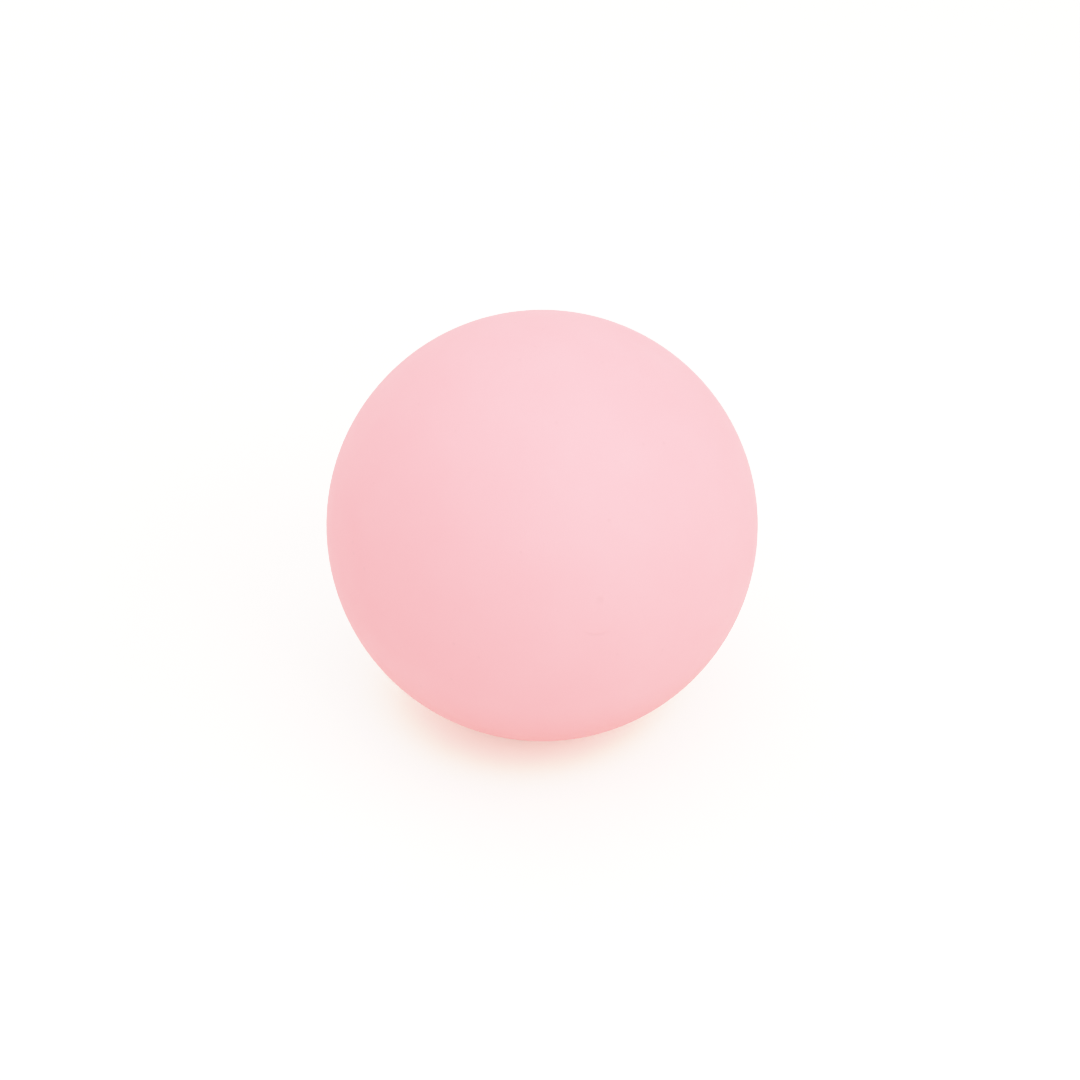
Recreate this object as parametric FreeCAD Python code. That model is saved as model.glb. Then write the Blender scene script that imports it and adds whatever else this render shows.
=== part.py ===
"""Inflatable exercise ball of the small, soft kind used in physiotherapy and Pilates.

The ball is a thin skin of soft PVC, cast in one piece. A moulded valve seat is fused into a round
hole in that skin, and a push-in plug closes the seat's bore. The plug pulls straight out to let
the ball be blown up or let down.

Frame: millimetres, +Z up. The origin is the middle of the small flat that the ball rests on, and
the valve's axis is horizontal, through the ball's centre, with its mouth towards +Y.
"""

import FreeCAD
import Part

import math
import os

# ---------------------------------------------------------------- ball
BALL_DIAMETER = 230.0
SKIN_THICKNESS = 0.9
REST_RADIUS = 15.0            # flat where the ball's weight presses it on the floor
REST_BEND_RADIUS = 45.0       # how roundly the skin leaves that flat

# ---------------------------------------------------------------- valve seat, moulded in
BORE_DIAMETER = 6.0
BORE_WALL = 3.2               # tube of the seat, round the bore
BORE_LENGTH = 15.0
BORE_LEAD_IN = 0.7            # chamfer at the bore's mouth
SEAT_RIM = 2.4                # ring of the seat that shows round the plug's head
FLANGE_WIDTH = 5.0            # how far the flange reaches under the skin, past the rim
FLANGE_THICKNESS = 1.3
FLANGE_ROOT_RADIUS = 1.6      # bend between the flange and the tube
TUBE_END_ROUNDING = 1.0
PAD_MARGIN = 6.0              # the skin is thickened this far past the flange
PAD_THICKNESS = 1.0           # extra skin at the valve's axis
JOINT_ROUNDING = 0.25         # edges on both sides of the ring where the seat meets the skin

# ---------------------------------------------------------------- plug
HEAD_DIAMETER = 12.0
HEAD_THICKNESS = 1.9
HEAD_ROUNDING = 0.4
STEM_SHRINK = 0.55            # stem between the ribs, smaller than the bore in radius
STEM_ROOT_CHAMFER = 0.5
RIB_COUNT = 3
RIB_PITCH = 3.9
RIB_LENGTH = 2.6              # sloping side of a rib, along the stem
FIRST_RIB_DEPTH = 1.8         # from the underside of the head to the first rib
TIP_PAST_BORE = 4.0
TIP_TAPER_LENGTH = 3.4
TIP_TAPER = 0.7               # loss of radius over the taper
CORE_DIAMETER = 2.4           # blind hole up the stem, which lets it squeeze
CORE_DEPTH = 13.0
NAIL_NOTCH_RADIUS = 2.6       # scoop in the seat's rim, for the fingernail that lifts the head
NAIL_NOTCH_RISE = 1.1         # the scoop's centre stands this far above the rim

# ---------------------------------------------------------------- clearances
HEAD_SIDE_GAP = 0.20
HEAD_SEAT_GAP = 0.05
RIB_GAP = 0.05                # the ribs, squeezed in the bore, all but touch its wall

# ---------------------------------------------------------------- sizes that follow
BALL_RADIUS = BALL_DIAMETER / 2
BORE_RADIUS = BORE_DIAMETER / 2
HEAD_RADIUS = HEAD_DIAMETER / 2
RECESS_RADIUS = HEAD_RADIUS + HEAD_SIDE_GAP
NECK_RADIUS = RECESS_RADIUS + SEAT_RIM
TUBE_RADIUS = BORE_RADIUS + BORE_WALL
FLANGE_RADIUS = NECK_RADIUS + FLANGE_WIDTH
PAD_RADIUS = FLANGE_RADIUS + PAD_MARGIN
INNER_RADIUS = BALL_RADIUS - SKIN_THICKNESS
RECESS_FLOOR = BALL_RADIUS - HEAD_THICKNESS - HEAD_SEAT_GAP
TUBE_END = RECESS_FLOOR - BORE_LENGTH
CENTRE_HEIGHT = REST_BEND_RADIUS + math.sqrt(
    (BALL_RADIUS - REST_BEND_RADIUS) ** 2 - REST_RADIUS**2
)

UP = FreeCAD.Vector(0, 0, 1)
VALVE_AXIS = FreeCAD.Vector(0, 1, 0)
BALL_CENTRE = FreeCAD.Vector(0, 0, CENTRE_HEIGHT)


def height_on(radius, q, centre=0.0):
    """Height along the axis of a sphere's surface at distance q from that axis."""
    return centre + math.sqrt(radius**2 - q**2)


# A profile is drawn with q, the distance from the valve's axis, and t, the distance along it from
# the ball's centre.
def valve_point(q, t):
    return FreeCAD.Vector(q, t, CENTRE_HEIGHT)


def line(start, end):
    return Part.LineSegment(valve_point(*start), valve_point(*end)).toShape()


def exact_arc(centre, start_direction, turn_axis, radius, start, end):
    """Arc about an exact centre, its angles counted from start_direction. Three points would put
    the centre a rounding error off the axis, and the surface would no longer be a sphere."""
    circle = Part.Circle(centre, turn_axis, radius)
    circle.XAxis = start_direction
    return Part.ArcOfCircle(circle, start, end).toShape()


def sphere_arc(radius, q_start, q_end, centre=0.0):
    """Arc of a sphere's section between two distances from the valve's axis."""
    start, end = math.asin(q_start / radius), math.asin(q_end / radius)
    return exact_arc(valve_point(0, centre), VALVE_AXIS, -UP, radius, start, end)


def polyline(points):
    return [line(a, b) for a, b in zip(points, points[1:])]


def revolve_about_valve(edges):
    face = Part.Face(Part.Wire(Part.__sortEdges__(edges)))
    return face.revolve(BALL_CENTRE, VALVE_AXIS, 360)


def ring_edges(solid, radius, t):
    """Edges of a solid that are circles about the valve's axis, of that radius and place."""
    found = []
    for edge in solid.Edges:
        if edge.Degenerated or not isinstance(edge.Curve, Part.Circle):
            continue
        offset = edge.Curve.Center - BALL_CENTRE
        on_axis = math.hypot(offset.x, offset.z) < 1e-4
        if on_axis and abs(edge.Curve.Radius - radius) < 1e-4 and abs(offset.y - t) < 1e-3:
            found.append(edge)
    return found


def ball_body(inset):
    """The resting ball's outer shape, moved inwards by inset: a sphere with a flat under it."""
    tilt = math.asin(REST_RADIUS / (BALL_RADIUS - REST_BEND_RADIUS))
    bend_centre = FreeCAD.Vector(REST_RADIUS, 0, REST_BEND_RADIUS)
    bend_radius = REST_BEND_RADIUS - inset
    bend = exact_arc(bend_centre, -UP, -VALVE_AXIS, bend_radius, 0, tilt)
    round_part = exact_arc(BALL_CENTRE, -UP, -VALVE_AXIS, BALL_RADIUS - inset, tilt, math.pi)
    foot = FreeCAD.Vector(0, 0, inset)
    flat = Part.LineSegment(foot, bend.Vertexes[0].Point).toShape()
    axis = Part.LineSegment(round_part.Vertexes[1].Point, foot).toShape()
    return Part.Face(Part.Wire([flat, bend, round_part, axis])).revolve(FreeCAD.Vector(), UP, 360)


# The thickened pad's inner face is part of a larger sphere, which meets the skin's own inner face
# at PAD_RADIUS and stands PAD_THICKNESS inside it on the axis.
PAD_CROWN = INNER_RADIUS - PAD_THICKNESS
PAD_RISE = PAD_CROWN - height_on(INNER_RADIUS, PAD_RADIUS)
PAD_FACE_RADIUS = (PAD_RADIUS**2 + PAD_RISE**2) / (2 * PAD_RISE)
PAD_FACE_CENTRE = PAD_CROWN - PAD_FACE_RADIUS


def skin_pad():
    """Room that the pad takes from the ball's hollow."""
    rim = height_on(INNER_RADIUS, PAD_RADIUS)
    beyond = BALL_RADIUS + SKIN_THICKNESS
    outline = [(PAD_RADIUS, rim), (PAD_RADIUS, beyond), (0, beyond), (0, PAD_CROWN)]
    under = sphere_arc(PAD_FACE_RADIUS, 0, PAD_RADIUS, PAD_FACE_CENTRE)
    return revolve_about_valve(polyline(outline) + [under])


def ball_shell():
    hollow = ball_body(SKIN_THICKNESS).cut(skin_pad())
    hole = Part.makeCylinder(
        NECK_RADIUS, BALL_RADIUS, valve_point(0, BALL_RADIUS / 2), VALVE_AXIS
    )
    shell = ball_body(0).cut(hollow).cut(hole)
    mouth = ring_edges(shell, NECK_RADIUS, height_on(BALL_RADIUS, NECK_RADIUS))
    return shell.makeFillet(JOINT_ROUNDING, mouth)


def valve_seat():
    """Rim flush with the skin, a recess for the plug's head, a flange under the skin, a tube."""
    rim_inside = height_on(BALL_RADIUS, RECESS_RADIUS)
    rim_outside = height_on(BALL_RADIUS, NECK_RADIUS)
    flange_top = height_on(PAD_FACE_RADIUS, NECK_RADIUS, PAD_FACE_CENTRE)
    flange_edge = height_on(PAD_FACE_RADIUS, FLANGE_RADIUS, PAD_FACE_CENTRE)
    flange_under = flange_edge - FLANGE_THICKNESS
    outline = [
        (FLANGE_RADIUS, flange_edge),
        (FLANGE_RADIUS, flange_under),
        (TUBE_RADIUS, flange_under),
        (TUBE_RADIUS, TUBE_END),
        (BORE_RADIUS, TUBE_END),
        (BORE_RADIUS, RECESS_FLOOR - BORE_LEAD_IN),
        (BORE_RADIUS + BORE_LEAD_IN, RECESS_FLOOR),
        (RECESS_RADIUS, RECESS_FLOOR),
        (RECESS_RADIUS, rim_inside),
    ]
    edges = polyline(outline) + [
        sphere_arc(BALL_RADIUS, RECESS_RADIUS, NECK_RADIUS),
        line((NECK_RADIUS, rim_outside), (NECK_RADIUS, flange_top)),
        sphere_arc(PAD_FACE_RADIUS, NECK_RADIUS, FLANGE_RADIUS, PAD_FACE_CENTRE),
    ]
    seat = revolve_about_valve(edges)
    rim_edges = ring_edges(seat, RECESS_RADIUS, rim_inside)
    rim_edges += ring_edges(seat, NECK_RADIUS, rim_outside)
    seat = seat.makeFillet(JOINT_ROUNDING, rim_edges)
    seat = seat.makeFillet(FLANGE_ROOT_RADIUS, ring_edges(seat, TUBE_RADIUS, flange_under))
    seat = seat.makeFillet(TUBE_END_ROUNDING, ring_edges(seat, TUBE_RADIUS, TUBE_END))
    return seat.cut(nail_notch(rim_inside))


def nail_notch(rim_height):
    """Ball-shaped cutter, at the top of the seat's rim."""
    centre = valve_point(0, rim_height + NAIL_NOTCH_RISE) + UP * RECESS_RADIUS
    return Part.makeSphere(NAIL_NOTCH_RADIUS, centre)


def valve_plug():
    """Head flush with the ball, a ribbed stem that fills the bore, and a tapered, cored tip."""
    head_under = RECESS_FLOOR + HEAD_SEAT_GAP
    rib_radius = BORE_RADIUS - RIB_GAP
    stem_radius = BORE_RADIUS - STEM_SHRINK
    tip_end = TUBE_END - TIP_PAST_BORE
    taper_start = tip_end + TIP_TAPER_LENGTH
    core_end = tip_end + CORE_DEPTH
    core_radius = CORE_DIAMETER / 2
    outline = [
        (HEAD_RADIUS, height_on(BALL_RADIUS, HEAD_RADIUS)),
        (HEAD_RADIUS, head_under),
        (stem_radius + STEM_ROOT_CHAMFER, head_under),
        (stem_radius, head_under - STEM_ROOT_CHAMFER),
    ]
    for number in range(RIB_COUNT):
        rib_top = head_under - FIRST_RIB_DEPTH - number * RIB_PITCH
        outline += [
            (stem_radius, rib_top),
            (rib_radius, rib_top),
            (stem_radius, rib_top - RIB_LENGTH),
        ]
    outline += [
        (stem_radius, taper_start),
        (stem_radius - TIP_TAPER, tip_end),
        (core_radius, tip_end),
        (core_radius, core_end - core_radius),
        (0, core_end),
        (0, BALL_RADIUS),
    ]
    plug = revolve_about_valve(polyline(outline) + [sphere_arc(BALL_RADIUS, 0, HEAD_RADIUS)])
    rim = ring_edges(plug, HEAD_RADIUS, height_on(BALL_RADIUS, HEAD_RADIUS))
    return plug.makeFillet(HEAD_ROUNDING, rim)


def write_step(name, solid):
    if solid.ShapeType == "Compound" and len(solid.Solids) == 1:
        solid = solid.Solids[0]
    problem = not solid.isValid() or len(solid.Solids) != 1
    print(f"{name}: {solid.Volume:.1f} mm3, {'PROBLEM' if problem else 'sound'}")
    solid.exportStep(os.path.join("parts", f"{name}.step"))


os.makedirs("parts", exist_ok=True)
write_step("ball_shell", ball_shell())
write_step("valve_seat", valve_seat())
write_step("valve_plug", valve_plug())
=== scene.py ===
"""An exercise ball of soft pink PVC, at rest on a pale studio floor.

All lengths are in metres, and the ball stands at the origin, with its valve facing +Y.
"""

import math

import bmesh
import bpy
from mathutils import Matrix, Vector, noise


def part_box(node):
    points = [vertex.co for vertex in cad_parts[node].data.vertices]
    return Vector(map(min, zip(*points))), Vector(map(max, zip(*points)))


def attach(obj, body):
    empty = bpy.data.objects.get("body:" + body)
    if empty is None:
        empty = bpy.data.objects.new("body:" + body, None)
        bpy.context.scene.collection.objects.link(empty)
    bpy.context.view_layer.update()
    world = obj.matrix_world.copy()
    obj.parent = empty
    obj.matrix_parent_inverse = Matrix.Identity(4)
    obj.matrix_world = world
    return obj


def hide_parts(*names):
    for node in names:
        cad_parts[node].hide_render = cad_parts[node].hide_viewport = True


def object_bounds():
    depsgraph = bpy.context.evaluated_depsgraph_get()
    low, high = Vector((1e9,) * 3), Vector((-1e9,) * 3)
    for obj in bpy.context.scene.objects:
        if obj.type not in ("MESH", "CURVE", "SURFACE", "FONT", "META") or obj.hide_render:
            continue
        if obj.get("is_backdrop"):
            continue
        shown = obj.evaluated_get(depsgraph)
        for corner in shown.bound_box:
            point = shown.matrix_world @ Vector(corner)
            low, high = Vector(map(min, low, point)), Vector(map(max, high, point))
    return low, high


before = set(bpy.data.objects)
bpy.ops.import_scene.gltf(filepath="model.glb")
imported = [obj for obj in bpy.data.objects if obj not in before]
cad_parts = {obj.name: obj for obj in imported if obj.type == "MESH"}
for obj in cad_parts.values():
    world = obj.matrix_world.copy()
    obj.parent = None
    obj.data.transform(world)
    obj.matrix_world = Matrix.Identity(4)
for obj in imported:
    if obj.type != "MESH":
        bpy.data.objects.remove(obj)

cad_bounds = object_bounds()
shell_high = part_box("ball_shell")[1]
ball_radius = shell_high.x
centre_height = shell_high.z - ball_radius
ball_centre = Vector((0, 0, centre_height))


# ---------------------------------------------------------------------------------------- camera
# A short telephoto lens looks down on the ball from the front. It aims a little under the ball's
# centre and to its left, so that the ball sits just above the middle of the frame.
look_down = math.radians(41)
half_ball_angle = math.radians(4.839)
aim_under_centre = 0.0078
aim_left_of_centre = 0.00116

towards_camera = Vector((0, -math.cos(look_down), math.sin(look_down)))
camera_up = Vector((0, math.sin(look_down), math.cos(look_down)))
camera_right = Vector((1, 0, 0))

camera_data = bpy.data.cameras.new("camera")
camera_data.lens = 85
camera_data.sensor_width = 36
camera_data.clip_start = 0.05
camera_data.clip_end = 50
camera = bpy.data.objects.new("camera", camera_data)
bpy.context.scene.collection.objects.link(camera)
bpy.context.scene.camera = camera
camera.location = ball_centre + towards_camera * ball_radius / math.sin(half_ball_angle)
aim_point = ball_centre - camera_up * aim_under_centre - camera_right * aim_left_of_centre
camera.rotation_euler = (aim_point - camera.location).to_track_quat("-Z", "Y").to_euler()


# ----------------------------------------------------------------------------------------- light
# Bright, soft and nearly shadowless: pale walls all round, a strong softbox high to the camera's
# right, and weaker ones overhead, behind the ball and to the left.
wall_brightness = 1.22


def direction_to(turn, rise):
    """Direction from the ball's centre, turned to the right of the camera's side, and raised."""
    flat = math.cos(rise)
    return Vector((math.sin(turn) * flat, -math.cos(turn) * flat, math.sin(rise)))


def softbox(name, turn, rise, distance, width, power):
    """Square white area light aimed at the ball, its turn and rise in degrees."""
    direction = direction_to(math.radians(turn), math.radians(rise))
    data = bpy.data.lights.new(name, "AREA")
    data.shape = "SQUARE"
    data.size = width
    data.energy = power
    light = bpy.data.objects.new(name, data)
    bpy.context.scene.collection.objects.link(light)
    light.location = ball_centre + direction * distance
    light.rotation_euler = (-direction).to_track_quat("-Z", "Y").to_euler()


softbox("key_softbox", turn=52, rise=44, distance=1.5, width=1.2, power=8.6)
softbox("left_softbox", turn=-65, rise=38, distance=1.6, width=1.2, power=1)
softbox("back_softbox", turn=-140, rise=45, distance=1.6, width=1.2, power=3)
softbox("top_softbox", turn=0, rise=88, distance=1.6, width=1.6, power=5)

room = bpy.data.worlds.new("pale_room")
bpy.context.scene.world = room
room.use_nodes = True
walls = room.node_tree.nodes["Background"]
walls.inputs["Color"].default_value = (1, 1, 1, 1)
walls.inputs["Strength"].default_value = wall_brightness

# The exposure is high, and the brightest tones roll off gently into white.
tone_range = 2
straight_tones = ((0.72, 0.72), (0.9, 0.9))
rolled_off_tones = ((1.07, 0.955), (1.2, 0.98))
white_tone = (1.3, 1.0)
view = bpy.context.scene.view_settings
view.view_transform = "Standard"
view.look = "None"
view.use_curve_mapping = True
tones = view.curve_mapping
tones.clip_max_x = tone_range
tones.clip_max_y = tone_range
tone_curve = tones.curves[3]
tone_curve.points[0].location = (0, 0)
tone_curve.points[1].location = white_tone
for light_in, light_out in straight_tones + rolled_off_tones:
    tone_curve.points.new(light_in, light_out)
tones.update()


# ------------------------------------------------------------------------------------- ball skin
# A seamless bag of soft PVC, 0.9 mm thick, rotationally cast. Its outside copies the mould: a fine
# matt grain, a hair-thin parting line between the poles, the trace of a round mould insert in
# front, and a stiffer pad round the valve, which the skin beside it puckers against.
skin_thickness = 0.0009
rest_radius = 0.015
rest_bend_radius = 0.045
neck_radius = 0.0086
pad_radius = 0.0196
pad_thickness = 0.001
mouth_rounding = 0.00025
mouth_steps = 5
pad_steps = 4
skin_segments = 240
inner_step = math.radians(3)
fine_step = 0.0004
step_growth = 1.15
parting_steps = 6
insert_cuts = 3
smallest_edge = 0.000001

sway_height = 0.00012
sway_size = 0.07
relief_starts_above = 0.002
relief_is_full_above = 0.03
parting_height = 0.00003
parting_half_width = 0.0006
pad_valley_depth = 0.00014
pad_valley_radius = 0.0225
pad_valley_width = 0.0045
pucker_height = 0.00005
pucker_count = 9
pucker_start = 0.0092

insert_turn = math.radians(14.8)
insert_rise = math.radians(17.3)
insert_tilt = math.radians(9)
insert_radius = 0.0117
insert_reach = 0.017
insert_groove_depth = 0.00012
insert_groove_width = 0.0006
insert_lip_height = 0.00008
insert_lip_offset = 0.0013
insert_spread = 0.6
pinhead_above_insert = 0.0073
pinhead_radius = 0.0014
pinhead_depth = 0.00015


def bump_at(distance, width):
    """Smooth hump, 1 high, that has nearly gone at twice its width."""
    return math.exp(-((distance / width) ** 2))


def smooth_step(value, low, high):
    share = min(1.0, max(0.0, (value - low) / (high - low)))
    return share * share * (3 - 2 * share)


def resting_distance(direction, inset):
    """Distance from the ball's centre to its skin, which is flat where it rests on the floor."""
    radius = ball_radius - inset
    down = -direction.z
    across = math.hypot(direction.x, direction.y)
    tilt = math.atan2(across, down)
    if tilt >= math.asin(rest_radius / (ball_radius - rest_bend_radius)):
        return radius
    to_floor = centre_height - inset
    if to_floor * math.tan(tilt) <= rest_radius:
        return to_floor / math.cos(tilt)
    # From here the way out from the centre meets the bend, an arc beside the flat.
    bend_drop = centre_height - rest_bend_radius
    along = rest_radius * across + bend_drop * down
    apart = rest_radius**2 + bend_drop**2
    return along + math.sqrt(along**2 - apart + (rest_bend_radius - inset) ** 2)


insert_centre = direction_to(insert_turn, insert_rise)
level_right = Vector((math.cos(insert_turn), math.sin(insert_turn), 0))
insert_right = Matrix.Rotation(-insert_tilt, 3, insert_centre) @ level_right
insert_up = insert_centre.cross(insert_right)


def insert_trace(direction):
    """Relief left by the mould's insert: the foot of a ring, and a pinhead dimple inside it."""
    point = direction * ball_radius
    right, up = point.dot(insert_right), point.dot(insert_up)
    if direction.dot(insert_centre) < 0 or math.hypot(right, up) > insert_reach:
        return 0.0
    from_ring = math.hypot(right, up) - insert_radius
    from_foot = math.atan2(right, -up)
    shown = max(0.0, 1 - (from_foot / insert_spread) ** 2)
    groove = insert_groove_depth * bump_at(from_ring, insert_groove_width)
    lip = insert_lip_height * bump_at(from_ring + insert_lip_offset, insert_groove_width)
    from_pinhead = math.hypot(right, up - pinhead_above_insert)
    return shown * (lip - groove) - pinhead_depth * bump_at(from_pinhead, pinhead_radius)


def skin_relief(direction):
    """How far the outside stands proud of a perfect ball."""
    point = direction * ball_radius
    off_floor = smooth_step(point.z + ball_radius, relief_starts_above, relief_is_full_above)
    sway = noise.noise(point / sway_size) * sway_height * off_floor
    from_parting = min(1.0, abs(point.y) / parting_half_width)
    parting = parting_height * (1 - from_parting**2) ** 2 * off_floor
    if point.y < 0:
        return sway + parting + insert_trace(direction)
    from_valve = math.hypot(point.x, point.z)
    off_valve = smooth_step(from_valve, pucker_start, pad_radius)
    valley = pad_valley_depth * bump_at(from_valve - pad_valley_radius, pad_valley_width)
    turn = Vector((direction.x, 0, direction.z)).normalized()
    folds = noise.noise(turn * pucker_count / math.pi + Vector((0, from_valve / pad_radius, 0)))
    pucker = pucker_height * folds * bump_at(from_valve - pad_radius, pad_valley_width)
    return off_valve * (sway - valley + pucker) + parting


def spaced(start, end, first_step, largest_step):
    """Places from start to end, close together at first and then wider apart."""
    places = [start]
    step = first_step
    while end - places[-1] > step * 1.5:
        places.append(places[-1] + step)
        step = min(step * step_growth, largest_step)
    return places + [end]


def valve_ring(mesh, radius, along, segments):
    """Ring of points about the valve's axis, so far along it from the ball's centre."""
    turns = [2 * math.pi * index / segments for index in range(segments)]
    places = [Vector((math.sin(turn) * radius, along, math.cos(turn) * radius)) for turn in turns]
    return [mesh.verts.new(ball_centre + place) for place in places]


def bridge(mesh, first, second):
    """Quads between two rings of as many points."""
    for index in range(len(first)):
        after = (index + 1) % len(first)
        mesh.faces.new((first[index], first[after], second[after], second[index]))


def close_ring(mesh, ring, along):
    """Triangles from a ring to a point on the valve's axis."""
    tip = mesh.verts.new(ball_centre + Vector((0, along, 0)))
    for index in range(len(ring)):
        mesh.faces.new((ring[index], ring[(index + 1) % len(ring)], tip))


def finished_piece(name, mesh):
    """Object made of a closed mesh, its faces turned outwards and smoothly shaded."""
    bmesh.ops.dissolve_degenerate(mesh, dist=smallest_edge, edges=mesh.edges)
    bmesh.ops.recalc_face_normals(mesh, faces=mesh.faces)
    data = bpy.data.meshes.new(name)
    mesh.to_mesh(data)
    mesh.free()
    data.polygons.foreach_set("use_smooth", [True] * len(data.polygons))
    piece = bpy.data.objects.new(name, data)
    bpy.context.scene.collection.objects.link(piece)
    return piece


def outer_angles():
    """Angles from the valve's axis to the skin's rows, close at the mouth and the parting line."""
    to_equator = math.pi / 2
    largest = 2 * math.pi / skin_segments
    fine = fine_step / ball_radius
    mouth = math.asin((neck_radius + mouth_rounding) / (ball_radius - mouth_rounding))
    parting = 2 * parting_half_width / ball_radius
    from_mouth = spaced(mouth, to_equator / 2, fine, largest)
    to_parting = spaced(parting, to_equator / 2, fine, largest)
    rows = from_mouth[:-1] + [to_equator - place for place in reversed(to_parting)]
    for number in range(1 - parting_steps, parting_steps):
        rows.append(to_equator + parting * number / parting_steps)
    to_pole = spaced(parting, to_equator - largest, fine, largest)
    return rows + [to_equator + place for place in to_pole]


def settle_outside(point):
    """Moves a point of the outer face straight out or in, to where the face really is."""
    out = (point.co - ball_centre).normalized()
    point.co = ball_centre + out * (resting_distance(out, 0) + skin_relief(out))


def skin_outside(mesh):
    """Outer face of the skin. Returns the ring at the edge of the valve's hole."""
    rings = []
    for angle in outer_angles():
        radius, along = math.sin(angle) * ball_radius, math.cos(angle) * ball_radius
        rings.append(valve_ring(mesh, radius, along, skin_segments))
    for first, second in zip(rings, rings[1:]):
        bridge(mesh, first, second)
    close_ring(mesh, rings[-1], -ball_radius)
    for point in mesh.verts:
        settle_outside(point)
    return rings[0]


def refine_insert(mesh):
    """Splits the outer faces round the insert's trace, which is finer than the rest."""
    near_insert = set()
    for face in mesh.faces:
        out = face.calc_center_median() - ball_centre
        outside = out.length > ball_radius - skin_thickness / 2
        if outside and (out.normalized() - insert_centre).length * ball_radius < insert_reach:
            near_insert.update(face.edges)
    edges = list(near_insert)
    found = bmesh.ops.subdivide_edges(mesh, edges=edges, cuts=insert_cuts, use_grid_fill=True)
    for part in found["geom_inner"]:
        if isinstance(part, bmesh.types.BMVert):
            settle_outside(part)


def skin_mouth(mesh, ring):
    """Rounded edge and wall of the valve's hole. Returns the ring at the wall's inner end."""
    centre_radius = neck_radius + mouth_rounding
    centre_along = math.sqrt((ball_radius - mouth_rounding) ** 2 - centre_radius**2)
    first_angle = math.atan2(centre_along, centre_radius)
    for number in range(1, mouth_steps + 1):
        angle = first_angle + (math.pi - first_angle) * number / mouth_steps
        radius = centre_radius + math.cos(angle) * mouth_rounding
        along = centre_along + math.sin(angle) * mouth_rounding
        inner = valve_ring(mesh, radius, along, skin_segments)
        bridge(mesh, ring, inner)
        ring = inner
    inner = valve_ring(mesh, neck_radius, pad_face(neck_radius), skin_segments)
    bridge(mesh, ring, inner)
    return inner


# The pad's inner face is a shallow dish, which runs into the skin's own inner face.
inner_radius = ball_radius - skin_thickness
pad_crown = inner_radius - pad_thickness
pad_rise = pad_crown - math.sqrt(inner_radius**2 - pad_radius**2)
pad_face_radius = (pad_radius**2 + pad_rise**2) / (2 * pad_rise)


def pad_face(radius):
    return pad_crown - pad_face_radius + math.sqrt(pad_face_radius**2 - radius**2)


def skin_inside(mesh, ring):
    """Inner face, from the hole's wall over the pad and round to the far pole."""
    for number in range(1, pad_steps + 1):
        radius = neck_radius + (pad_radius - neck_radius) * number / pad_steps
        inner = valve_ring(mesh, radius, pad_face(radius), skin_segments)
        bridge(mesh, ring, inner)
        ring = inner
    pad_angle = math.asin(pad_radius / inner_radius)
    rows = round((math.pi - pad_angle) / inner_step)
    for number in range(1, rows):
        angle = pad_angle + (math.pi - pad_angle) * number / rows
        radius, along = math.sin(angle) * inner_radius, math.cos(angle) * inner_radius
        inner = valve_ring(mesh, radius, along, skin_segments)
        for point in inner:
            out = (point.co - ball_centre).normalized()
            point.co = ball_centre + out * resting_distance(out, skin_thickness)
        bridge(mesh, ring, inner)
        ring = inner
    close_ring(mesh, ring, -inner_radius)


patch_low, patch_high = 0.3, 0.7


class Value:
    """One socket of a material. Sums, differences and products of values add Math nodes."""

    def __init__(self, surface, socket):
        self.surface = surface
        self.socket = socket

    def maths(self, operation, first, second):
        return self.surface.node("Math", {"operation": operation}, {0: first, 1: second})

    def __add__(self, other):
        return self.maths("ADD", self, other)

    def __radd__(self, other):
        return self.maths("ADD", other, self)

    def __sub__(self, other):
        return self.maths("SUBTRACT", self, other)

    def __rsub__(self, other):
        return self.maths("SUBTRACT", other, self)

    def __mul__(self, other):
        return self.maths("MULTIPLY", self, other)

    def __rmul__(self, other):
        return self.maths("MULTIPLY", other, self)


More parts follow.
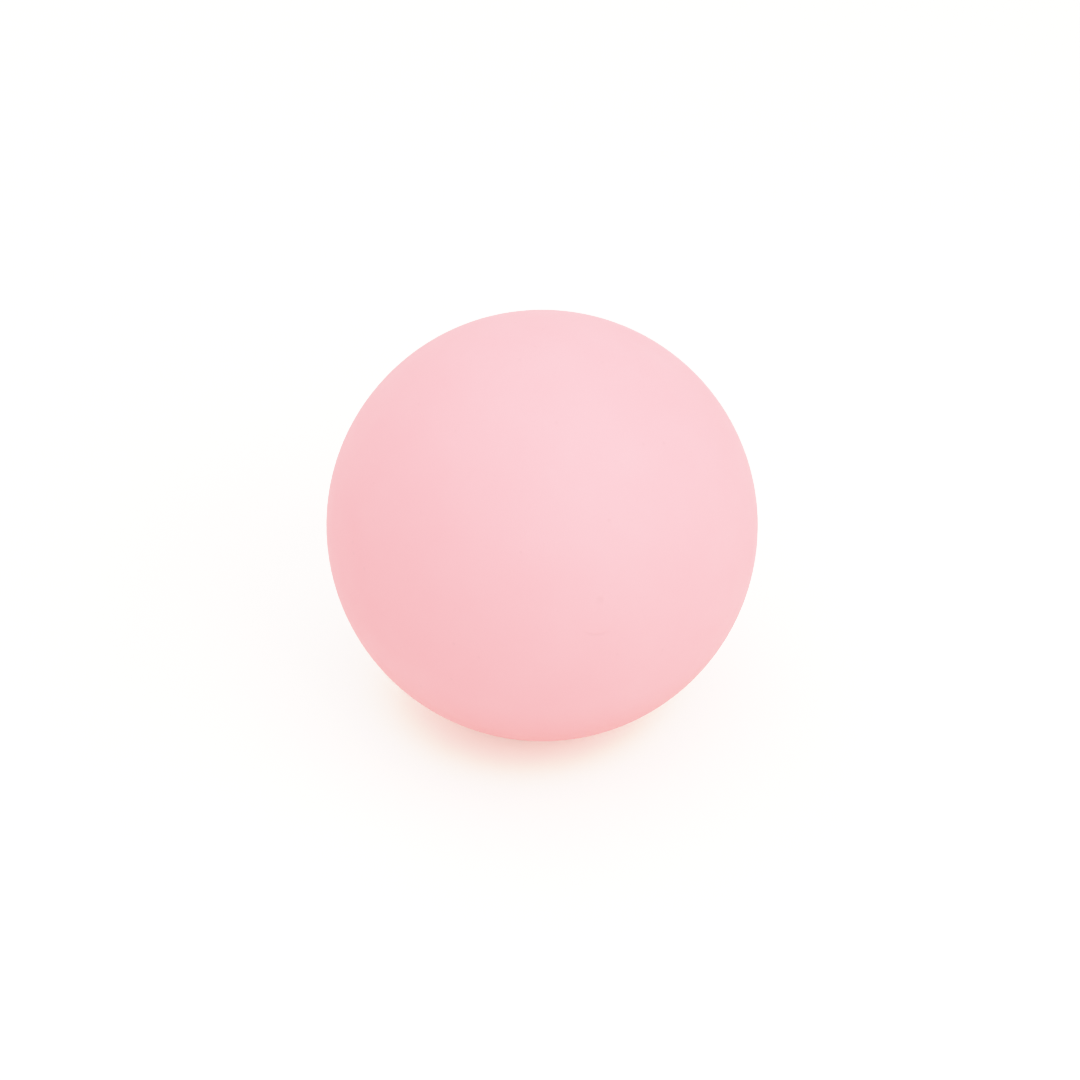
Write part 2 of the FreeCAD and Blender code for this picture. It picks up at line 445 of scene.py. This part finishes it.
class Surface:
    """A material of one Principled shader, with the nodes that feed it."""

    def __init__(self, name, **constants):
        self.material = bpy.data.materials.new(name)
        self.material.use_nodes = True
        self.tree = self.material.node_tree
        self.shader = self.tree.nodes["Principled BSDF"]
        for socket, value in constants.items():
            self.shader.inputs[socket.replace("_", " ")].default_value = value

    def node(self, kind, settings, sockets, output=0):
        """Adds a shader node of that kind: its settings first, then its sockets' values or links."""
        added = self.tree.nodes.new("ShaderNode" + kind)
        for setting, value in settings.items():
            setattr(added, setting, value)
        for socket, value in sockets.items():
            if isinstance(value, Value):
                self.tree.links.new(value.socket, added.inputs[socket])
            else:
                added.inputs[socket].default_value = value
        return Value(self, added.outputs[output])

    def feed(self, socket, value):
        self.tree.links.new(value.socket, self.shader.inputs[socket])

    def place(self):
        return self.node("TexCoord", {}, {}, "Object")

    def cloud(self, size, detail=2.0):
        """Smooth noise from 0 to 1, its blobs about that size across."""
        sockets = {"Vector": self.place(), "Scale": 1 / size, "Detail": detail}
        return self.node("TexNoise", {}, sockets, "Fac")

    def ramp(self, value, low, high, low_result=0.0, high_result=1.0):
        """Runs evenly from one result to the other as value goes from low to high, and stops."""
        sockets = {0: value, 1: low, 2: high, 3: low_result, 4: high_result}
        return self.node("MapRange", {"clamp": True}, sockets)

    def blend(self, share, first, second):
        """Colour that goes from first to second with share."""
        return self.node("Mix", {"data_type": "RGBA"}, {0: share, 6: first, 7: second}, 2)

    def patchy(self, patch_size, smoothest, roughest):
        """Roughness that varies in soft patches."""
        patches = self.cloud(patch_size, 3)
        self.feed("Roughness", self.ramp(patches, patch_low, patch_high, smoothest, roughest))

    def bump(self, height, depth, under=None):
        sockets = {"Height": height, "Distance": depth}
        if under:
            sockets["Normal"] = under
        return self.node("Bump", {}, sockets)

    def distance_to(self, point):
        """Distance from a point of the object's own space."""
        sockets = {0: self.place(), 1: point}
        return self.node("VectorMath", {"operation": "DISTANCE"}, sockets, "Value")

    def from_valve_axis(self):
        flattened = {0: self.place(), 1: (1, 0, 1)}
        across = self.node("VectorMath", {"operation": "MULTIPLY"}, flattened)
        from_axis = {0: across, 1: (0, 0, centre_height)}
        return self.node("VectorMath", {"operation": "DISTANCE"}, from_axis, "Value")


skin_mesh = bmesh.new()
mouth_edge = skin_outside(skin_mesh)
skin_inside(skin_mesh, skin_mouth(skin_mesh, mouth_edge))
refine_insert(skin_mesh)
ball_skin = finished_piece("ball_skin", skin_mesh)

# Pigment is a little uneven in the cast skin. The deeper pink low down isn't pigment, but a
# stand-in for redder light there. Dust sticks to the skin in specks. The skin is also darker in a
# ring in the groove round the valve and in the pinhead's dimple, and painted shade darkens the
# insert's ring near its foot.
pale_pink = (0.70, 0.365, 0.392, 1)
deep_pink = (0.69, 0.345, 0.372, 1)
pigment_patch = 0.035
foot_pink = (0.69, 0.305, 0.31, 1)
foot_pink_is_full_below = 0.02
foot_pink_ends_above = 0.085
# Grey of the dust specks, also used for the darker marks and the painted shade.
dust_and_shade_grey = (0.50, 0.32, 0.34, 1)
large_speck_strength = 0.3
small_speck_strength = 0.25
bare_share, bare_share_edge = 0.5, 0.52
valve_groove_radius = 0.0088
valve_groove_edge = 0.0094
valve_groove_darkness = 0.4
insert_shade_half_width = 0.001
insert_shade_strength = 0.3
insert_foot_reach, insert_foot_end = 0.003, 0.008
pinhead_dark_edge = 0.0027
pinhead_dark_strength = 0.28
grain_size, grain_depth = 0.0006, 0.00005
peel_size, peel_depth = 0.004, 0.00002
insert_place = ball_centre + insert_centre * ball_radius
insert_foot = insert_place - insert_up * insert_radius
pinhead = insert_place + insert_up * pinhead_above_insert
valve_mouth = ball_centre + Vector((0, ball_radius, 0))
soft_pvc = Surface("soft_pvc_skin", Roughness=0.62, IOR=1.45)


def specks(surface, spacing, size):
    """Scattered round specks, 1 at the middle of each, the largest ones about that size."""
    cells = {"Vector": surface.place(), "Scale": 1 / spacing}
    distance = surface.node("TexVoronoi", {}, cells, "Distance") * spacing
    shown = surface.ramp(surface.node("TexVoronoi", {}, cells, "Color"), bare_share, bare_share_edge)
    return surface.ramp(distance, size / 4, size / 2, 1, 0) * shown


skin_colour = soft_pvc.blend(soft_pvc.cloud(pigment_patch, 3), pale_pink, deep_pink)
height = soft_pvc.node("SeparateXYZ", {}, {0: soft_pvc.place()}, "Z")
near_foot = soft_pvc.ramp(height, foot_pink_is_full_below, foot_pink_ends_above, 1, 0)
skin_colour = soft_pvc.blend(near_foot, skin_colour, foot_pink)
large_specks = specks(soft_pvc, spacing=0.013, size=0.0022) * large_speck_strength
dust = large_specks + specks(soft_pvc, spacing=0.007, size=0.0012) * small_speck_strength
# The skin is darker in a ring in the groove round the valve.
from_mouth = soft_pvc.distance_to(valve_mouth)
darker_valve_groove = soft_pvc.ramp(
    from_mouth, valve_groove_radius, valve_groove_edge, valve_groove_darkness, 0
)
# Painted shade: the skin darkens along the insert's ring near its foot, where the groove lies in
# shade.
from_ring = soft_pvc.distance_to(insert_place) - insert_radius
ring_edge = insert_shade_half_width**2
insert_ring_shade = soft_pvc.ramp(from_ring * from_ring, 0, ring_edge, insert_shade_strength, 0)
from_foot = soft_pvc.distance_to(insert_foot)
painted_foot_shade = insert_ring_shade * soft_pvc.ramp(from_foot, insert_foot_reach, insert_foot_end, 1, 0)
# The skin is darker in and round the pinhead's dimple.
from_pinhead = soft_pvc.distance_to(pinhead)
darker_pinhead = soft_pvc.ramp(
    from_pinhead, pinhead_radius, pinhead_dark_edge, pinhead_dark_strength, 0
)
# Dust specks, the darker valve groove and pinhead, and the painted shade at the insert's foot, all
# mixed towards one grey.
skin_dust_and_shade = dust + darker_valve_groove + painted_foot_shade + darker_pinhead
soft_pvc.feed("Base Color", soft_pvc.blend(skin_dust_and_shade, skin_colour, dust_and_shade_grey))
grain = soft_pvc.bump(soft_pvc.cloud(grain_size, 2), grain_depth)
soft_pvc.feed("Normal", soft_pvc.bump(soft_pvc.cloud(peel_size, 1), peel_depth, grain))
soft_pvc.patchy(0.02, smoothest=0.58, roughest=0.66)
ball_skin.data.materials.append(soft_pvc.material)
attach(ball_skin, "ball")
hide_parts("ball_shell")


# ------------------------------------------------------------------------------------ valve seat
# Moulded PVC insert, fused into the skin: a rim that ends flush with the ball, a recess for the
# plug's head, a flange under the pad, and the tube that holds the plug. A scoop in the rim lets a
# fingernail under the head.
bore_radius = 0.003
bore_lead_in = 0.0007
bore_length = 0.015
tube_radius = 0.0062
tube_rounding = 0.001
recess_radius = 0.0062
recess_depth = 0.00195
flange_radius = 0.0136
flange_thickness = 0.0013
flange_root_radius = 0.0016
rim_rounding = 0.00025
rim_crown = 0.00004
rim_crown_rounding = 0.002
small_rounding = 0.0001
nail_notch_radius = 0.0026
nail_notch_rise = 0.0011
valve_segments = 192
corner_steps = 6


def ball_surface(radius):
    """Place along the valve's axis of the ball's surface, that far out from the axis."""
    return math.sqrt(ball_radius**2 - radius**2)


def corner_points(before, corner, after, rounding):
    """Points of an outline's rounded corner, with one more on each side of it."""
    to_before = (Vector(before) - Vector(corner)).normalized()
    to_after = (Vector(after) - Vector(corner)).normalized()
    half_corner = to_before.angle(to_after) / 2
    reach = rounding / math.tan(half_corner)
    to_centre = (to_before + to_after).normalized()
    centre = Vector(corner) + to_centre * rounding / math.sin(half_corner)
    start = Vector(corner) + to_before * reach - centre
    end = Vector(corner) + to_after * reach - centre
    first_angle = math.atan2(start.y, start.x)
    sweep = (math.atan2(end.y, end.x) - first_angle + math.pi) % (2 * math.pi) - math.pi
    points = [centre + start + to_before * rounding / 4]
    for number in range(corner_steps + 1):
        angle = first_angle + sweep * number / corner_steps
        points.append(centre + Vector((math.cos(angle), math.sin(angle))) * rounding)
    return points + [centre + end + to_after * rounding / 4]


def rounded_outline(corners):
    """Closed outline from corners, each with its distance from the axis, place along it, and
    rounding."""
    points = []
    for index, (radius, along, rounding) in enumerate(corners):
        before = corners[index - 1][:2]
        after = corners[(index + 1) % len(corners)][:2]
        points += corner_points(before, (radius, along), after, rounding)
    return points


recess_floor = ball_radius - recess_depth
tube_end = recess_floor - bore_length
flange_under = pad_face(flange_radius) - flange_thickness
rim_middle = (recess_radius + neck_radius) / 2
seat_corners = [
    (recess_radius, ball_surface(recess_radius), rim_rounding),
    (rim_middle, ball_surface(rim_middle) + rim_crown, rim_crown_rounding),
    (neck_radius, ball_surface(neck_radius), rim_rounding),
    (neck_radius, pad_face(neck_radius), small_rounding),
    (flange_radius, pad_face(flange_radius), small_rounding),
    (flange_radius, flange_under, small_rounding),
    (tube_radius, flange_under, flange_root_radius),
    (tube_radius, tube_end, tube_rounding),
    (bore_radius, tube_end, small_rounding),
    (bore_radius, recess_floor - bore_lead_in, small_rounding),
    (bore_radius + bore_lead_in, recess_floor, small_rounding),
    (recess_radius, recess_floor, small_rounding),
]


def lathe(mesh, outline, segments):
    """Closed ring-shaped solid, its outline turned about the valve's axis."""
    rings = [valve_ring(mesh, radius, along, segments) for radius, along in outline]
    for index, ring in enumerate(rings):
        bridge(mesh, rings[index - 1], ring)


def cut_nail_notch(mesh):
    """Presses the rim down to the ball-shaped scoop at its top."""
    rim_height = ball_surface(recess_radius)
    notch_centre = ball_centre + Vector((0, rim_height + nail_notch_rise, recess_radius))
    for point in mesh.verts:
        aside = math.hypot(point.co.x - notch_centre.x, point.co.z - notch_centre.z)
        if aside < nail_notch_radius and point.co.y > recess_floor:
            scoop = notch_centre.y - math.sqrt(nail_notch_radius**2 - aside**2)
            point.co.y = min(point.co.y, scoop)


seat_mesh = bmesh.new()
lathe(seat_mesh, rounded_outline(seat_corners), valve_segments)
cut_nail_notch(seat_mesh)
valve_seat = finished_piece("valve_seat_insert", seat_mesh)

# The insert comes smoother from its steel mould than the skin does, and a shade deeper.
seat_pink = (0.70, 0.35, 0.378, 1)
seat_pink_deep = (0.69, 0.33, 0.358, 1)
seat_patch = 0.006
seat_grain_size, seat_grain_depth = 0.0004, 0.000018
rim_dark_start = 0.0082
rim_dark_strength = 0.6
moulded_pvc = Surface("moulded_pvc_seat", Roughness=0.5, IOR=1.45)
seat_colour = moulded_pvc.blend(moulded_pvc.cloud(seat_patch, 3), seat_pink, seat_pink_deep)
from_axis = moulded_pvc.from_valve_axis()
# Darker towards the rim's outer edge, where it meets the skin.
darker_rim_edge = moulded_pvc.ramp(from_axis, rim_dark_start, neck_radius, 0, rim_dark_strength)
moulded_pvc.feed("Base Color", moulded_pvc.blend(darker_rim_edge, seat_colour, dust_and_shade_grey))
moulded_pvc.feed("Normal", moulded_pvc.bump(moulded_pvc.cloud(seat_grain_size, 2), seat_grain_depth))
moulded_pvc.patchy(0.004, smoothest=0.44, roughest=0.54)
valve_seat.data.materials.append(moulded_pvc.material)
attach(valve_seat, "ball")
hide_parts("valve_seat")


# ------------------------------------------------------------------------------------ valve plug
# Push-in plug of firmer PVC, moulded in one shot: a head that lies flush in the seat, three ribs
# that seal in the bore, and a cored tip that squeezes as it goes in. Its head carries a turned
# groove and the scar of the gate, and its stem the two flash lines of the mould's halves.
head_radius = 0.006
head_thickness = 0.0019
head_rounding = 0.0004
head_groove_radius = 0.0044
head_groove_depth = 0.00012
head_groove_half_width = 0.0004
gate_radius = 0.0009
gate_depth = 0.00012
gate_rounding = 0.00005
gate_rim_rounding = 0.00008
gate_nub_radius = 0.00035
gate_nub_height = 0.0001
gate_nub_rounding = 0.00004
soft_rounding = 0.0002
stem_radius = 0.00245
stem_root_chamfer = 0.0005
rib_radius = 0.00295
rib_count = 3
rib_pitch = 0.0039
rib_length = 0.0026
first_rib_depth = 0.0018
rib_edge_rounding = 0.00006
tip_past_bore = 0.004
tip_taper_length = 0.0034
tip_taper = 0.0007
core_radius = 0.0012
core_depth = 0.013
flash_height = 0.00004
flash_half_width = math.radians(3)
flash_from_radius = core_radius * 1.3
flash_to_radius = rib_radius * 0.97

head_under = ball_radius - head_thickness
tip_end = tube_end - tip_past_bore
core_end = tip_end + core_depth


def open_outline(corners):
    """Outline from the axis back to the axis, with every corner between rounded."""
    points = [Vector(corners[0][:2])]
    for before, corner, after in zip(corners, corners[1:], corners[2:]):
        points += corner_points(before[:2], corner[:2], after[:2], corner[2])
    return points + [Vector(corners[-1][:2])]


gate_floor = ball_radius - gate_depth
groove_top = ball_surface(head_groove_radius)
head_corners = [
    (0, gate_floor + gate_nub_height, 0),
    (gate_nub_radius, gate_floor + gate_nub_height, gate_nub_rounding),
    (gate_nub_radius, gate_floor, gate_nub_rounding),
    (gate_radius, gate_floor, gate_rounding),
    (gate_radius + gate_depth, ball_surface(gate_radius), gate_rim_rounding),
    (head_groove_radius - head_groove_half_width, groove_top, soft_rounding),
    (head_groove_radius, groove_top - head_groove_depth, soft_rounding),
    (head_groove_radius + head_groove_half_width, groove_top, soft_rounding),
    (head_radius, ball_surface(head_radius), head_rounding),
    (head_radius, head_under, small_rounding),
    (stem_radius + stem_root_chamfer, head_under, soft_rounding),
    (stem_radius, head_under - stem_root_chamfer, soft_rounding),
]
rib_corners = []
for number in range(rib_count):
    rib_top = head_under - first_rib_depth - number * rib_pitch
    rib_corners += [
        (stem_radius, rib_top, small_rounding),
        (rib_radius, rib_top, rib_edge_rounding),
        (stem_radius, rib_top - rib_length, small_rounding),
    ]
tip_corners = [
    (stem_radius, tip_end + tip_taper_length, small_rounding),
    (stem_radius - tip_taper, tip_end, small_rounding),
    (core_radius, tip_end, small_rounding),
    (core_radius, core_end - core_radius, small_rounding),
    (0, core_end, 0),
]
plug_outline = open_outline(head_corners + rib_corners + tip_corners)

plug_mesh = bmesh.new()
plug_rings = [valve_ring(plug_mesh, *place, valve_segments) for place in plug_outline[1:-1]]
for first, second in zip(plug_rings, plug_rings[1:]):
    bridge(plug_mesh, first, second)
close_ring(plug_mesh, plug_rings[0], plug_outline[0].y)
close_ring(plug_mesh, plug_rings[-1], plug_outline[-1].y)
for point in plug_mesh.verts:
    across = point.co - ball_centre
    across.y = 0
    from_flash = math.asin(min(1, abs(across.z) / max(across.length, smallest_edge)))
    on_stem = flash_from_radius < across.length < flash_to_radius
    if on_stem and point.co.y < head_under:
        point.co += across.normalized() * flash_height * bump_at(from_flash, flash_half_width)
valve_plug = finished_piece("valve_plug_moulding", plug_mesh)

# Firmer and a little glossier than the seat, and darker towards the head's edge.
plug_pink = (0.69, 0.325, 0.355, 1)
plug_pink_deep = (0.675, 0.305, 0.335, 1)
plug_patch = 0.005
plug_grain_size, plug_grain_depth = 0.0003, 0.000012
head_dark_start = 0.0056
head_dark_strength = 0.4
firm_pvc = Surface("firm_pvc_plug", Roughness=0.42, IOR=1.47)
plug_colour = firm_pvc.blend(firm_pvc.cloud(plug_patch, 3), plug_pink, plug_pink_deep)
from_axis = firm_pvc.from_valve_axis()
darker_head_edge = firm_pvc.ramp(from_axis, head_dark_start, head_radius, 0, head_dark_strength)
firm_pvc.feed("Base Color", firm_pvc.blend(darker_head_edge, plug_colour, dust_and_shade_grey))
firm_pvc.feed("Normal", firm_pvc.bump(firm_pvc.cloud(plug_grain_size, 2), plug_grain_depth))
firm_pvc.patchy(0.003, smoothest=0.36, roughest=0.46)
valve_plug.data.materials.append(firm_pvc.material)
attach(valve_plug, "plug")
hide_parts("valve_plug")


# ----------------------------------------------------------------------------------------- floor
# A sheet of plain white board, far wider than the view. It glows a little, which a real board
# doesn't: warmly near the ball, to lift the shadow, and again far off, so that no edge shows
# between the board and the walls.
floor_half_width = 8
glow_reach = 0.24
far_start = 0.8
far_end = 3
board_glow = 0.21
board_patch = 0.3
floor_data = bpy.data.meshes.new("floor")
corners = [(-1, -1), (1, -1), (1, 1), (-1, 1)]
floor_points = [(x * floor_half_width, y * floor_half_width, 0) for x, y in corners]
floor_data.from_pydata(floor_points, [], [(0, 1, 2, 3)])
floor = bpy.data.objects.new("floor", floor_data)
bpy.context.scene.collection.objects.link(floor)
white_board = Surface("white_board", Roughness=0.9, Emission_Strength=board_glow)
board_white = (0.87, 0.85, 0.815, 1)
board_warm_white = (0.88, 0.86, 0.825, 1)
warm_glow = (0.97, 0.92, 0.79, 1)
far_glow = (0.9, 0.95, 1, 1)
board_colour = white_board.blend(white_board.cloud(board_patch), board_white, board_warm_white)
white_board.feed("Base Color", board_colour)
from_contact = white_board.distance_to((0, 0, 0))
no_glow = (0, 0, 0, 1)
near_glow = white_board.blend(white_board.ramp(from_contact, 0, glow_reach), warm_glow, no_glow)
far_off = white_board.ramp(from_contact, far_start, far_end)
white_board.feed("Emission Color", white_board.blend(far_off, near_glow, far_glow))
floor_data.materials.append(white_board.material)
floor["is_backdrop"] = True

sizes = {"cad": cad_bounds, "visual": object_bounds()}
for box, corners in sizes.items():
    sizes[box] = [list(corner) for corner in corners]
